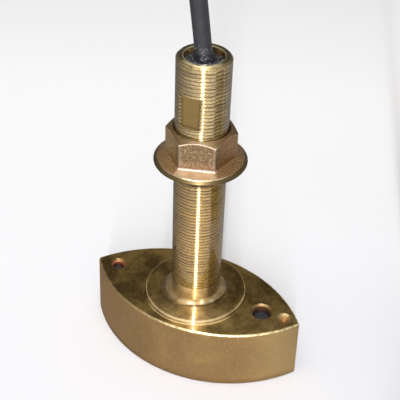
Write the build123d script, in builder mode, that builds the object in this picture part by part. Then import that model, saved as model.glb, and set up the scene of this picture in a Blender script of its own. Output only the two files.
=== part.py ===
"""Bronze through-hull sonar transducer with its hull nut, cable and plug.

Origin at the middle of the housing's underside, on the stem's axis. +Z runs up the stem, +X along the
housing's length. All sizes are in millimetres.
"""
from math import atan, radians, sin, sqrt, tan
import os

from build123d import *

os.makedirs("parts", exist_ok=True)

# Housing: an eye-shaped casting
housing_length = 129.6
housing_width = 67.6
housing_height = 38.0
casting_draft = 1.0
tip_radius = 2.2
top_edge_radius = 1.5
bottom_edge_radius = 0.6
side_wall = 5.0
roof = 6.0
cavity_tip_radius = 3.0

# Raised round pad, turned on the top face
pad_foot_radius = 29.4
pad_top_radius = 28.6
pad_rise = 2.6
pad_root = 1.0

# Holes in the top face, along X
pour_hole_x = 41.4
pour_hole_radius = 5.4
pour_hole_chamfer = 1.0
vent_hole_x = -51.1
vent_hole_radius = 3.4
vent_hole_chamfer = 1.3
dimple_x = 55.0
dimple_radius = 4.8
dimple_depth = 2.7
potting_below_face = 3.4

# Stem: a threaded tube
stem_radius = 14.0
stem_bore_radius = 10.4
stem_top = 191.0
stem_mouth_chamfer = 1.3
stem_bore_chamfer = 0.7
thread_bottom = 51.0
thread_pitch = 2.0
thread_depth = 1.1
crest_shave = 0.02
cutter_margin = 1.0
flat_bottom = 155.2
flat_top = 173.1
flat_from_axis = 12.2
flat_turn = -3.7

# Braze bead between the stem and the pad
braze_radius = 18.2
braze_recess = 0.4
braze_height = 2.6
braze_bulge = 10.4

# Hull nut: a hexagon on a round flange
nut_underside = 130.0
nut_height = 20.6
nut_across_flats = 32.8
nut_flange_radius = 24.6
nut_flange_rim = 0.8
nut_flange_edge = 1.7
nut_flange_edge_rise = 1.4
nut_flange_slope = 1.4
nut_chamfer_angle = 40.0
nut_chamfer_radius = 15.4
nut_turn = -13.2
nut_clearance = 0.3
nut_bore_chamfer = 1.0

# Inside the housing
window_thickness = 4.0
ceramic_radius = 22.5
ceramic_thickness = 10.0
isolation_wall = 2.6
backing_thickness = 3.0
backing_hole_x = 9.0
backing_hole_radius = 2.0
core_gap = 1.1
core_bottom = 15.0
core_radius = 10.8
core_height = 11.0
core_base = 2.2
core_rim = 1.9
core_post_radius = 4.6
core_slot_width = 3.4
core_slot_depth = 2.9
winding_clearance = 0.2
lead_radius = 0.9
lead_bend = 1.5
lead_drop = 2.1
potting_in_stem = 12.0

# Cable
cable_radius = 4.3
cable_end = 24.0
seal_depth = 12.0
seal_below_rim = 3.6
seal_collar_height = 6.0
seal_collar_radius = 5.2
seal_foot_radius = 7.4
seal_foot_rise = 1.2

# Coil of the cable that is put away, at the housing's side
turn_radius = 43.0
coil_columns = 3
coil_layers = 9
coil_centre_x = 200.0
coil_edge = 3.0
lead_in_overlap = 6.0

# Straps round the coil
tie_thickness = 1.2
tie_width = 9.0
tie_slack = 0.4

# Plug on the cable's end, measured along its axis from the boot's mouth
plug_x = 186.0
plug_y = 50.0
boot_mouth_radius = 5.4
boot_radius = 7.2
boot_taper = 20.0
boot_length = 32.0
boot_bore_depth = 16.0
insert_length = 14.0
pin_radius = 0.8
pin_standout = 7.0
pin_root = 3.0
pin_circle = 4.4
pin_count = 6
shell_radius = 9.2
shell_length = 28.0
shell_flange_radius = 10.0
shell_flange_start = 38.0
shell_flange_width = 2.0
ring_radius = 11.6
ring_length = 21.0
ring_lip = 2.5
ring_clearance = 0.3
washer_thickness = 1.2

# Worked out from the sizes above
cable_diameter = 2 * cable_radius
roof_z = housing_height - roof
pad_top = housing_height + pad_rise
braze_foot = pad_top - braze_recess
ceramic_top = window_thickness + ceramic_thickness
stack_radius = ceramic_radius + isolation_wall
stack_top = ceramic_top + backing_thickness
nut_bore_radius = stem_radius + nut_clearance
nut_top = nut_underside + nut_height
flange_shoulder = nut_underside + nut_flange_rim + nut_flange_edge_rise
seal_top = stem_top - seal_below_rim
seal_bottom = seal_top - seal_depth
coil_inner = turn_radius - cable_radius
coil_outer = turn_radius + (coil_columns - 1) * cable_diameter + cable_radius
coil_bottom = tie_thickness
coil_top = coil_bottom + coil_layers * cable_diameter
coil_middle = (coil_inner + coil_outer) / 2
plug_z = coil_top + ring_radius


def eye_outline(half_length, half_width, corner):
    """A face of two round arcs that meet in two rounded tips."""
    with BuildSketch() as outline:
        with BuildLine():
            ThreePointArc((-half_length, 0), (0, half_width), (half_length, 0))
            ThreePointArc((half_length, 0), (0, -half_width), (-half_length, 0))
        make_face()
        fillet(outline.vertices(), corner)
    return outline.sketch


def inset_eye(inset):
    """Half length, to the sharp tip, and half width of the outline, moved inwards all round."""
    b = housing_width / 2
    tip_angle = 2 * atan(housing_width / housing_length)
    a = housing_length / 2 + tip_radius * (1 / sin(tip_angle) - 1)
    arc_radius = (a * a + b * b) / (2 * b)
    centre_drop = arc_radius - b
    inner_radius = arc_radius - inset
    return sqrt(inner_radius**2 - centre_drop**2), b - inset


def corner_radii(points):
    """A route's corner radii: 0.45 of the shorter run, over the tangent of half the turn."""
    places = [Vector(*p) for p in points]
    radii = []
    for before, here, after in zip(places, places[1:], places[2:]):
        run_in, run_out = here - before, after - here
        half_turn = radians(run_in.get_angle(run_out)) / 2
        radii.append(0.45 * min(run_in.length, run_out.length) / tan(half_turn))
    print("corner radii", [round(r) for r in radii])
    return radii


# Housing
with BuildPart() as housing:
    with BuildSketch():
        add(eye_outline(*inset_eye(0), tip_radius))
    with BuildSketch(Plane.XY.offset(housing_height)):
        add(eye_outline(*inset_eye(housing_height * tan(radians(casting_draft))), tip_radius))
    loft(ruled=True)
    fillet(housing.faces().sort_by(Axis.Z)[-1].edges(), top_edge_radius)
    fillet(housing.faces().sort_by(Axis.Z)[0].edges(), bottom_edge_radius)
    with BuildSketch(Plane.XZ):
        with BuildLine():
            Polyline(
                (0, housing_height - pad_root),
                (pad_foot_radius, housing_height - pad_root),
                (pad_foot_radius, housing_height),
                (pad_top_radius, pad_top),
                (0, pad_top),
                close=True,
            )
        make_face()
    revolve(axis=Axis.Z)
    # Cavity for the element, open below
    with BuildSketch():
        add(eye_outline(*inset_eye(side_wall), cavity_tip_radius))
    extrude(amount=roof_z, mode=Mode.SUBTRACT)
    # Socket for the stem, with a recess for the braze
    with Locations((0, 0, pad_top)):
        CounterBoreHole(stem_radius, braze_radius, braze_recess, depth=pad_top)
    # Pour hole, vent hole and the drilled dimple
    with Locations((pour_hole_x, 0, housing_height)):
        CounterSinkHole(pour_hole_radius, pour_hole_radius + pour_hole_chamfer, depth=roof)
    with Locations((vent_hole_x, 0, housing_height)):
        CounterSinkHole(vent_hole_radius, vent_hole_radius + vent_hole_chamfer, depth=roof)
    with Locations((dimple_x, 0, housing_height - dimple_depth / 2)):
        Cone(0, dimple_radius, dimple_depth, mode=Mode.SUBTRACT)
housing.part.label = "housing"
export_step(housing.part, "parts/housing.step")

# Stem
with BuildPart() as stem:
    with BuildSketch(Plane.XY.offset(roof_z)):
        Circle(stem_radius)
        Circle(stem_bore_radius, mode=Mode.SUBTRACT)
    extrude(amount=stem_top - roof_z)
    rims = stem.edges().filter_by(GeomType.CIRCLE).group_by(Axis.Z)[-1].sort_by(SortBy.RADIUS)
    chamfer(rims[-1], stem_mouth_chamfer)
    rims = stem.edges().filter_by(GeomType.CIRCLE).group_by(Axis.Z)[-1].sort_by(SortBy.RADIUS)
    chamfer(rims[0], stem_bore_chamfer)
    # The thread, as rings at its real pitch
    thread_turns = int((stem_top - stem_mouth_chamfer - thread_bottom) / thread_pitch)
    thread_top = thread_bottom + thread_turns * thread_pitch
    crest_radius = stem_radius - crest_shave
    root_radius = stem_radius - thread_depth
    teeth = [
        (root_radius if step % 2 else crest_radius, thread_bottom + step * thread_pitch / 2)
        for step in range(2 * thread_turns + 1)
    ]
    with BuildSketch(Plane.XZ):
        with BuildLine():
            Polyline(*teeth, (stem_radius + cutter_margin, thread_top), (stem_radius + cutter_margin, thread_bottom), close=True)
        make_face()
    revolve(axis=Axis.Z, mode=Mode.SUBTRACT)
    # Two wrench flats
    flat_middle = (flat_bottom + flat_top) / 2
    with Locations(Location((0, 0, flat_middle), (0, 0, flat_turn))):
        with Locations((0, stem_radius + flat_from_axis, 0), (0, -stem_radius - flat_from_axis, 0)):
            Box(2 * stem_radius, 2 * stem_radius, flat_top - flat_bottom, mode=Mode.SUBTRACT)
stem.part.label = "stem"
export_step(stem.part, "parts/stem.step")

# Braze bead: a fillet with a bulging face
with BuildPart() as braze_fillet:
    with BuildSketch(Plane.XZ):
        with BuildLine():
            Polyline((stem_radius, braze_foot + braze_height), (stem_radius, braze_foot), (braze_radius, braze_foot))
            RadiusArc((braze_radius, braze_foot), (stem_radius, braze_foot + braze_height), -braze_bulge)
        make_face()
    revolve(axis=Axis.Z)
braze_fillet.part.label = "braze_fillet"
export_step(braze_fillet.part, "parts/braze_fillet.step")

# Hull nut
with BuildPart() as hull_nut:
    with BuildSketch(Plane.XY.offset(nut_underside)):
        RegularPolygon(nut_across_flats / 2, 6, major_radius=False, rotation=nut_turn)
    extrude(amount=nut_height)
    # The turned chamfer leaves an arc at the top of each flat
    with BuildSketch(Plane.XZ):
        with BuildLine():
            chamfer_reach = nut_across_flats
            chamfer_drop = (chamfer_reach - nut_chamfer_radius) * tan(radians(nut_chamfer_angle))
            Polyline(
                (0, nut_underside),
                (chamfer_reach, nut_underside),
                (chamfer_reach, nut_top - chamfer_drop),
                (nut_chamfer_radius, nut_top),
                (0, nut_top),
                close=True,
            )
        make_face()
    revolve(axis=Axis.Z, mode=Mode.INTERSECT)
    with BuildSketch(Plane.XZ):
        with BuildLine():
            Polyline(
                (0, nut_underside),
                (nut_flange_radius, nut_underside),
                (nut_flange_radius, nut_underside + nut_flange_rim),
                (nut_flange_radius - nut_flange_edge, flange_shoulder),
                (nut_across_flats / 2, flange_shoulder + nut_flange_slope),
                (0, flange_shoulder + nut_flange_slope),
                close=True,
            )
        make_face()
    revolve(axis=Axis.Z)
    with Locations((0, 0, nut_top)):
        CounterSinkHole(nut_bore_radius, nut_bore_radius + nut_bore_chamfer, depth=nut_height)
hull_nut.part.label = "hull_nut"
export_step(hull_nut.part, "parts/hull_nut.step")

# Acoustic window: closes the cavity, flush with the housing's underside
with BuildPart() as acoustic_window:
    with BuildSketch():
        add(eye_outline(*inset_eye(side_wall), cavity_tip_radius))
    extrude(amount=window_thickness)
acoustic_window.part.label = "acoustic_window"
export_step(acoustic_window.part, "parts/acoustic_window.step")

# Piezo element, with a ring round it and a backing on it
with BuildPart() as ceramic_disc:
    with BuildSketch(Plane.XY.offset(window_thickness)):
        Circle(ceramic_radius)
    extrude(amount=ceramic_thickness)
ceramic_disc.part.label = "ceramic_disc"
export_step(ceramic_disc.part, "parts/ceramic_disc.step")

with BuildPart() as isolation_ring:
    with BuildSketch(Plane.XY.offset(window_thickness)):
        Circle(stack_radius)
        Circle(ceramic_radius, mode=Mode.SUBTRACT)
    extrude(amount=ceramic_thickness)
isolation_ring.part.label = "isolation_ring"
export_step(isolation_ring.part, "parts/isolation_ring.step")

with BuildPart() as backing_disc:
    with BuildSketch(Plane.XY.offset(ceramic_top)):
        Circle(stack_radius)
        with Locations((backing_hole_x, 0), (-backing_hole_x, 0)):
            Circle(backing_hole_radius, mode=Mode.SUBTRACT)
    extrude(amount=backing_thickness)
backing_disc.part.label = "backing_disc"
export_step(backing_disc.part, "parts/backing_disc.step")

# Matching transformer: a pot core of two cups, and the winding round its post
core_x = -(stack_radius + core_gap + core_radius)
core_middle = core_bottom + core_height / 2
core_inner_radius = core_radius - core_rim
with BuildPart() as transformer_core:
    with BuildSketch(Plane(origin=(core_x, 0, 0), x_dir=(1, 0, 0), z_dir=(0, -1, 0))):
        with BuildLine():
            Polyline(
                (0, core_bottom),
                (core_radius, core_bottom),
                (core_radius, core_middle),
                (core_inner_radius, core_middle),
                (core_inner_radius, core_bottom + core_base),
                (core_post_radius, core_bottom + core_base),
                (core_post_radius, core_middle),
                (0, core_middle),
                close=True,
            )
        make_face()
    revolve(axis=Axis((core_x, 0, 0), (0, 0, 1)))
    with Locations((core_x + core_radius, 0, core_middle)):
        Box(2 * core_slot_depth, core_slot_width, core_height - 2 * core_base, mode=Mode.SUBTRACT)
    mirror(about=Plane.XY.offset(core_middle))
transformer_core.part.label = "transformer_core"
export_step(transformer_core.part, "parts/transformer_core.step")

with BuildPart() as transformer_winding:
    with BuildSketch(Plane.XY.offset(core_bottom + core_base + winding_clearance)):
        with Locations((core_x, 0)):
            Circle(core_inner_radius - winding_clearance)
            Circle(core_post_radius + winding_clearance, mode=Mode.SUBTRACT)
    extrude(amount=core_height - 2 * core_base - 2 * winding_clearance)
transformer_winding.part.label = "transformer_winding"
export_step(transformer_winding.part, "parts/transformer_winding.step")

# Insulated leads, from the cable's end to the transformer and the element
lead_offset = 2 * lead_radius
lead_level = cable_end - lead_drop
over_stack = stack_top + lead_offset
winding_edge = core_x + core_inner_radius - winding_clearance
lead_points = {
    "cable_lead": [
        (-lead_offset, 0, cable_end),
        (-lead_offset, 0, lead_level),
        (winding_edge, 0, core_middle + lead_offset),
    ],
    "element_lead": [
        (winding_edge, 0, core_middle - lead_offset),
        (-backing_hole_x, 0, over_stack),
        (-backing_hole_x, 0, ceramic_top),
    ],
    "return_lead": [
        (lead_offset, 0, cable_end),
        (lead_offset, 0, lead_level),
        (backing_hole_x, 0, over_stack),
        (backing_hole_x, 0, ceramic_top),
    ],
}
leads = {}
for name, points in lead_points.items():
    with BuildPart() as lead:
        with BuildLine() as lead_path:
            FilletPolyline(*points, radius=lead_bend)
        with BuildSketch(Plane(origin=lead_path.line @ 0, z_dir=lead_path.line % 0)):
            Circle(lead_radius)
        sweep()
    lead.part.label = name
    leads[name] = lead.part
    export_step(lead.part, "parts/" + name + ".step")

# Cable inside the stem
with BuildPart() as cable_in_stem:
    with BuildSketch(Plane.XY.offset(cable_end)):
        Circle(cable_radius)
    extrude(amount=seal_top - cable_end)
cable_in_stem.part.label = "cable_in_stem"
export_step(cable_in_stem.part, "parts/cable_in_stem.step")

# Resin that fills the cavity, rises into the pour and vent holes and closes the stem's lower end
with BuildPart() as cavity_potting:
    with BuildSketch(Plane.XY.offset(window_thickness)):
        add(eye_outline(*inset_eye(side_wall), cavity_tip_radius))
    extrude(amount=roof_z - window_thickness)
    with BuildSketch(Plane.XY.offset(roof_z)):
        with Locations((pour_hole_x, 0)):
            Circle(pour_hole_radius)
        with Locations((vent_hole_x, 0)):
            Circle(vent_hole_radius)
    extrude(amount=roof - potting_below_face)
    with BuildSketch(Plane.XY.offset(roof_z)):
        Circle(stem_bore_radius)
    extrude(amount=potting_in_stem)
    with BuildSketch(Plane.XY.offset(core_bottom)):
        with Locations((core_x, 0)):
            Circle(core_radius)
    extrude(amount=core_height, mode=Mode.SUBTRACT)
    for piece in (ceramic_disc, isolation_ring, backing_disc, cable_in_stem):
        add(piece.part, mode=Mode.SUBTRACT)
    for piece in leads.values():
        add(piece, mode=Mode.SUBTRACT)
cavity_potting.part.label = "cavity_potting"
export_step(cavity_potting.part, "parts/cavity_potting.step")

# Coil of cable: the outer shape of its turns
with BuildPart() as cable_coil:
    with BuildSketch(Plane.XY.offset(coil_bottom)):
        with Locations((coil_centre_x, 0)):
            Circle(coil_outer)
            Circle(coil_inner, mode=Mode.SUBTRACT)
    extrude(amount=coil_top - coil_bottom)
    chamfer(cable_coil.faces().filter_by(Axis.Z).edges(), coil_edge)
cable_coil.part.label = "cable_coil"
export_step(cable_coil.part, "parts/cable_coil.step")

# Cable from the stem's mouth over and down to the coil, and from the coil to the plug
lead_in_y = coil_outer - cable_radius
cable_points = {
    "cable_arch": [
        (0, 0, seal_top),
        (-1, -0.4, 204),
        (-5, -2.4, 234),
        (6, 5, 274),
        (42, 27, 297),
        (82, 48, 284),
        (105, 58, 240),
        (109, 60, 190),
        (113, 61, 140),
        (117, 61, 93),
        (124, lead_in_y, 52),
        (144, lead_in_y, 18),
        (coil_centre_x - lead_in_overlap, lead_in_y, coil_bottom + cable_radius),
    ],
    "cable_tail": [
        (196, -43, 72),
        (171, -39, 79),
        (141, -14, 84),
        (141, 23, 85),
        (167, plug_y, plug_z),
        (plug_x + boot_bore_depth, plug_y, plug_z),
    ],
}
cables = {}
for name, points in cable_points.items():
    with BuildPart() as cable:
        with BuildLine() as cable_path:
            FilletPolyline(*points, radius=corner_radii(points))
        with BuildSketch(Plane(origin=cable_path.line @ 0, z_dir=cable_path.line % 0)):
            Circle(cable_radius)
        sweep()
        print(name, "length", round(cable_path.wires()[0].length))
        add(cable_coil.part, mode=Mode.SUBTRACT)
    cable.part.label = name
    cables[name] = cable.part
    export_step(cable.part, "parts/" + name + ".step")

# Potting in the stem's mouth, drawn up round the cable
with BuildPart() as mouth_seal:
    with BuildSketch(Plane.XZ):
        with BuildLine():
            Polyline(
                (0, seal_bottom),
                (stem_bore_radius, seal_bottom),
                (stem_bore_radius, seal_top),
                (seal_foot_radius, seal_top + seal_foot_rise),
                (seal_collar_radius, seal_top + seal_collar_height),
                (0, seal_top + seal_collar_height),
                close=True,
            )
        make_face()
    revolve(axis=Axis.Z)
    add(cable_in_stem.part, mode=Mode.SUBTRACT)
    add(cables["cable_arch"], mode=Mode.SUBTRACT)
mouth_seal.part.label = "mouth_seal"
export_step(mouth_seal.part, "parts/mouth_seal.step")

# Straps round the coil, at its front, right and back
with BuildPart() as coil_ties:
    bundle_width = coil_outer - coil_inner + 2 * tie_slack
    bundle_height = coil_top - coil_bottom
    for turn in (-90, 0, 90):
        across = Axis.X.direction.rotate(Axis.Z, turn)
        middle = Vector(coil_centre_x, 0, (coil_bottom + coil_top) / 2) + across * coil_middle
        with BuildSketch(Plane(origin=middle, x_dir=across, z_dir=across.cross(Vector(0, 0, 1)))):
            RectangleRounded(
                bundle_width + 2 * tie_thickness,
                bundle_height + 2 * tie_thickness,
                coil_edge + tie_thickness,
            )
            RectangleRounded(bundle_width, bundle_height, coil_edge, mode=Mode.SUBTRACT)
        extrude(amount=tie_width / 2, both=True)
coil_ties.part.label = "coil_ties"
export_step(coil_ties.part, "parts/coil_ties.step")

# Plug: each turned piece is a profile of distance along the axis and radius
plug_side = Plane(origin=(plug_x, plug_y, plug_z), x_dir=(1, 0, 0), z_dir=(0, -1, 0))
plug_axis = Axis((plug_x, plug_y, plug_z), (1, 0, 0))
shell_start = boot_taper
shell_end = shell_start + shell_length
insert_front = boot_length + insert_length
flange_front = shell_flange_start + shell_flange_width
ring_start = shell_flange_start - ring_lip
ring_end = ring_start + ring_length
washer_radius = shell_flange_radius
profiles = {
    "connector_boot": [
        (0, cable_radius),
        (0, boot_mouth_radius),
        (boot_taper, boot_radius),
        (boot_length, boot_radius),
        (boot_length, 0),
        (boot_bore_depth, 0),
        (boot_bore_depth, cable_radius),
    ],
    "connector_body": [
        (shell_start, boot_radius),
        (shell_start, shell_radius),
        (shell_flange_start, shell_radius),
        (shell_flange_start, shell_flange_radius),
        (flange_front, shell_flange_radius),
        (flange_front, shell_radius),
        (shell_end, shell_radius),
        (shell_end, boot_radius),
    ],
    "connector_ring": [
        (ring_start, shell_radius + ring_clearance),
        (ring_start, ring_radius),
        (ring_end, ring_radius),
        (ring_end, shell_flange_radius + ring_clearance),
        (shell_flange_start, shell_flange_radius + ring_clearance),
        (shell_flange_start, shell_radius + ring_clearance),
    ],
    "connector_washer": [
        (flange_front, shell_radius),
        (flange_front, washer_radius),
        (flange_front + washer_thickness, washer_radius),
        (flange_front + washer_thickness, shell_radius),
    ],
    "connector_insert": [
        (boot_length, 0),
        (boot_length, boot_radius),
        (insert_front, boot_radius),
        (insert_front, 0),
    ],
}
with BuildPart() as connector_pins:
    with BuildSketch(Plane(origin=(plug_x + insert_front - pin_root, plug_y, plug_z), x_dir=(0, 1, 0), z_dir=(1, 0, 0))):
        with PolarLocations(pin_circle, pin_count):
            Circle(pin_radius)
    extrude(amount=pin_root + pin_standout)
connector_pins.part.label = "connector_pins"
export_step(connector_pins.part, "parts/connector_pins.step")
for name, profile in profiles.items():
    with BuildPart() as turned:
        with BuildSketch(plug_side):
            with BuildLine():
                Polyline(*profile, close=True)
            make_face()
        revolve(axis=plug_axis)
        if name == "connector_insert":
            add(connector_pins.part, mode=Mode.SUBTRACT)
    turned.part.label = name
    export_step(turned.part, "parts/" + name + ".step")
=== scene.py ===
# %% [markdown]
# # A bronze through-hull sonar transducer
#
# The part is the transducer that a boat carries in its bottom: an eye-shaped bronze housing, a threaded
# stem that goes up through the hull, a nut that clamps it there, and the cable to the sounder. The solids
# come from the CAD frame. This file gives them their surfaces, and makes again what a plain solid can't
# show: the thread, the castings' soft edges, the braze bead, the resin and the cable.

# %% Load the frame
import math

import bmesh
import bpy
import numpy as np
from mathutils import Matrix, Vector


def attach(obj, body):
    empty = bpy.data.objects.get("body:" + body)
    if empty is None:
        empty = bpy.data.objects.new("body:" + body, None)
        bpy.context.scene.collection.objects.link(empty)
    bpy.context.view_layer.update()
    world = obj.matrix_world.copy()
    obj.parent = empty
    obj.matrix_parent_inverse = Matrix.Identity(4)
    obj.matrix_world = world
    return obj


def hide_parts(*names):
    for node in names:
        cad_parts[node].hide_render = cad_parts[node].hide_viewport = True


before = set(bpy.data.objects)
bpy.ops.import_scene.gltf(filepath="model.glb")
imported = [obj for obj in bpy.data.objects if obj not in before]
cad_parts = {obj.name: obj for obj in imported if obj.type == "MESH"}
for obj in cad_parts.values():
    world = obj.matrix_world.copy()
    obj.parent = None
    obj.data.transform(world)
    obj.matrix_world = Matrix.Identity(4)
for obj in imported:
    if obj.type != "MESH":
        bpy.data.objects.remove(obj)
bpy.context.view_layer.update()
mm = 0.001

# %% [markdown]
# The camera comes first, because every shape is compared with the photograph through it. Its place was
# worked out from the object's own ellipses and edges. It looks at the housing's long side from 23 degrees
# to the right, looks down by 37 degrees, and is rolled by two. Its own axes, right, up and backward, are
# the columns of the matrix that places it.

# %% The camera
view_turn = math.radians(23.26)
view_height = math.radians(36.85)
view_roll = math.radians(-2.25)
camera_place = Vector((0.15147, -0.35103, 0.38963))

forward = Vector((
    -math.sin(view_turn) * math.cos(view_height),
    math.cos(view_turn) * math.cos(view_height),
    -math.sin(view_height),
))
level_right = Vector((math.cos(view_turn), math.sin(view_turn), 0))
level_down = forward.cross(level_right)
right = level_right * math.cos(view_roll) + level_down * math.sin(view_roll)
down = level_down * math.cos(view_roll) - level_right * math.sin(view_roll)
camera_data = bpy.data.cameras.new("photo_camera")
camera_data.lens = 79.77
camera_data.sensor_width = 36.0
camera_data.clip_start = 0.01
camera = bpy.data.objects.new("photo_camera", camera_data)
bpy.context.scene.collection.objects.link(camera)
axes = Matrix((right, -down, -forward)).transposed()
camera.matrix_world = Matrix.Translation(camera_place) @ axes.to_4x4()
bpy.context.scene.camera = camera
print("camera looks along", [round(v, 3) for v in forward])

# %% [markdown]
# Materials, the world and Geometry Nodes are all node trees, and wiring a tree one socket at a time hides
# what it does. This small class adds a node and its wires in a single call, and gives short names to the
# operations that come up again and again.

# %% Helpers for node trees
class Graph:
    """A node tree under construction. Most calls add a node and give back its output."""

    def __init__(self, tree):
        self.tree, self.nodes, self.wires = tree, tree.nodes, tree.links

    def plug(self, socket, value):
        """Wires another node's output into a socket, or sets a plain value there."""
        if isinstance(value, bpy.types.NodeSocket):
            self.wires.new(value, socket)
        else:
            socket.default_value = value

    def set(self, node, **sockets):
        """Fills a node's named sockets. An underscore stands for a space."""
        for name, value in sockets.items():
            self.plug(node.inputs[name.replace("_", " ")], value)

    def add(self, kind, inputs=None, **settings):
        """A node of this kind, with its settings and its inputs."""
        node = self.nodes.new(kind)
        for key, value in settings.items():
            setattr(node, key, value)
        for key, value in (inputs or {}).items():
            self.plug(node.inputs[key], value)
        return node

    def get(self, kind, inputs=None, **settings):
        """The first output of such a node."""
        return self.add(kind, inputs, **settings).outputs[0]

    def maths(self, operation, a, b=0.0, c=0.0):
        """One sum with up to three numbers."""
        return self.get("ShaderNodeMath", {0: a, 1: b, 2: c}, operation=operation)

    def times(self, first, *others):
        """A product."""
        for other in others:
            first = self.maths("MULTIPLY", first, other)
        return first

    def dot(self, a, b, c, d):
        """a times b, plus c times d."""
        return self.maths("ADD", self.times(a, b), self.times(c, d))

    def length(self, x, y):
        """How long the flat vector x, y is."""
        return self.maths("SQRT", self.dot(x, x, y, y))

    def xyz(self, x, y, z):
        """Three numbers as one vector."""
        return self.get("ShaderNodeCombineXYZ", {0: x, 1: y, 2: z})

    def vector(self, operation, a, b=(0, 0, 0)):
        """Vector maths. A dot product and a length are numbers, the rest are vectors."""
        node = self.add("ShaderNodeVectorMath", {0: a, 1: b}, operation=operation)
        return node.outputs["Value" if operation in ("DOT_PRODUCT", "LENGTH") else "Vector"]

    def ramp(self, value, low, high, out_low=0.0, out_high=1.0, kind="LINEAR"):
        """An even slope: out_low below low, out_high above high."""
        inputs = {0: value, 1: low, 2: high, 3: out_low, 4: out_high}
        return self.get("ShaderNodeMapRange", inputs, interpolation_type=kind)

    def between(self, value, low, high, out_low=0.0, out_high=1.0):
        """The same as a soft step, which eases in and out."""
        return self.ramp(value, low, high, out_low, out_high, "SMOOTHSTEP")

    def below(self, value, full, none):
        """1 below full, and softly down to 0 at none."""
        return self.between(value, full, none, 1.0, 0.0)

    def span(self, value, start, full, fade, end):
        """1 from full to fade, and softly down to 0 at start and at end."""
        return self.times(self.between(value, start, full), self.below(value, fade, end))

    def choose(self, factor, a, b):
        """The number a where factor is 0, and b where it is 1."""
        return self.get("ShaderNodeMix", {0: factor, 2: a, 3: b})


# %% [markdown]
# The part stands on a pale floor that goes over into a pale background. Polished metal shows what lies
# round it, so the floor has a second brightness that only mirrors see: brighter to the right of the camera
# and dim behind the part, which is what the reflections in the photograph tell of its room. The shader
# learns from Light Path which kind of ray asks.

# %% The floor
bpy.context.scene.view_settings.view_transform = "Standard"


def compass(degrees):
    """A level direction."""
    return (math.cos(math.radians(degrees)), math.sin(math.radians(degrees)), 0)


floor_mesh = bpy.data.meshes.new("floor")
floor_mesh.from_pydata([(-6, -6, 0), (6, -6, 0), (6, 6, 0), (-6, 6, 0)], [], [(0, 1, 2, 3)])
floor = bpy.data.objects.new("floor", floor_mesh)
bpy.context.scene.collection.objects.link(floor)
floor.location.z = -0.2 * mm  # just clear of the part's underside
floor_paint = bpy.data.materials.new("pale_floor")
floor_paint.use_nodes = True
floor_mesh.materials.append(floor_paint)
lamp_turn = -69

paint = Graph(floor_paint.node_tree)
ray = paint.add("ShaderNodeLightPath").outputs
place = paint.add("ShaderNodeTexCoord").outputs["Object"]
rightward = paint.vector("DOT_PRODUCT", paint.vector("NORMALIZE", place), compass(-45))
in_mirrors = paint.choose(ray["Is Glossy Ray"], 0.86, paint.ramp(rightward, -0.9, 0.9, 0.22, 0.95))

# The camera sees a darker floor near the lamps, which light it most, and a glow far away from the part
lampward = paint.vector("DOT_PRODUCT", place, compass(lamp_turn))
seen = paint.choose(ray["Is Camera Ray"], in_mirrors, paint.ramp(lampward, -0.3, 0.8, 0.76, 0.28))
glow = paint.times(paint.ramp(paint.vector("LENGTH", place), 0.6, 2.4, 0.0, 0.7), ray["Is Camera Ray"])
paint.set(
    paint.nodes["Principled BSDF"], Base_Color=seen, Roughness=0.9, Specular_IOR_Level=0.1,
    Emission_Color=(1, 1, 1, 1), Emission_Strength=glow,
)
print("the floor's paint has", len(paint.nodes), "nodes")

# %% [markdown]
# The world does the same for the air above. It is pale for the camera, bright above and in front for
# mirrors, and less than half as bright where it only fills the shadows.

# %% The world
world = bpy.data.worlds.new("studio")
world.use_nodes = True
bpy.context.scene.world = world
sky = Graph(world.node_tree)
ray = sky.add("ShaderNodeLightPath").outputs
fill = sky.nodes["Background"]
sky.set(fill, Color=(1.0, 0.98, 0.93, 1), Strength=0.45)
way = sky.add("ShaderNodeTexCoord").outputs["Generated"]
upward = sky.vector("DOT_PRODUCT", way, (0.34, -0.49, 0.8))
strength = sky.choose(ray["Is Glossy Ray"], 1.0, sky.ramp(upward, -0.16, 0.56, 0.42, 1.0))
backdrop = sky.add("ShaderNodeBackground", {"Color": (0.93, 0.93, 0.93, 1), "Strength": strength})
shown = sky.maths("MAXIMUM", ray["Is Glossy Ray"], ray["Is Transmission Ray"])
shown = sky.maths("MAXIMUM", ray["Is Camera Ray"], shown)
both = sky.add("ShaderNodeMixShader", {0: shown, 1: fill.outputs[0], 2: backdrop.outputs[0]})
sky.set(sky.nodes["World Output"], Surface=both.outputs[0])
print("the world has", len(sky.nodes), "nodes")

# %% [markdown]
# Three lamps light the part. A tall narrow one beside the camera draws the white streak down the turned
# metal that the photograph shows. A soft one in front lifts the sides, and a large one above lights
# the top and lays a soft shadow.

# %% The lamps
def lamp(name, turn, height, distance, size, watts, tall=None, colour=(1, 1, 1)):
    """An area lamp that looks at the middle of the part. turn and height are in degrees, sizes in metres."""
    data = bpy.data.lights.new(name, "AREA")
    data.shape = "ELLIPSE"
    data.size = size
    data.size_y = tall or size
    data.energy = watts
    data.color = colour
    made = bpy.data.objects.new(name, data)
    bpy.context.scene.collection.objects.link(made)
    target = Vector((0, 0, 0.09))
    turn, height = math.radians(turn), math.radians(height)
    out = Vector((math.cos(turn) * math.cos(height), math.sin(turn) * math.cos(height), math.sin(height)))
    made.location = target + out * distance
    made.rotation_euler = (-out).to_track_quat("-Z", "Y").to_euler()
    print(name, "gives", watts, "W from", distance, "m")


lamp("streak_lamp", lamp_turn, 42, 1.3, 0.03, 20, tall=1.6, colour=(0.97, 0.97, 1.08))
lamp("front_softbox", -62, 40, 1.8, 1.0, 4.5)
lamp("top_softbox", -90, 80, 1.5, 1.2, 11, colour=(1.0, 0.98, 0.94))

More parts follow.
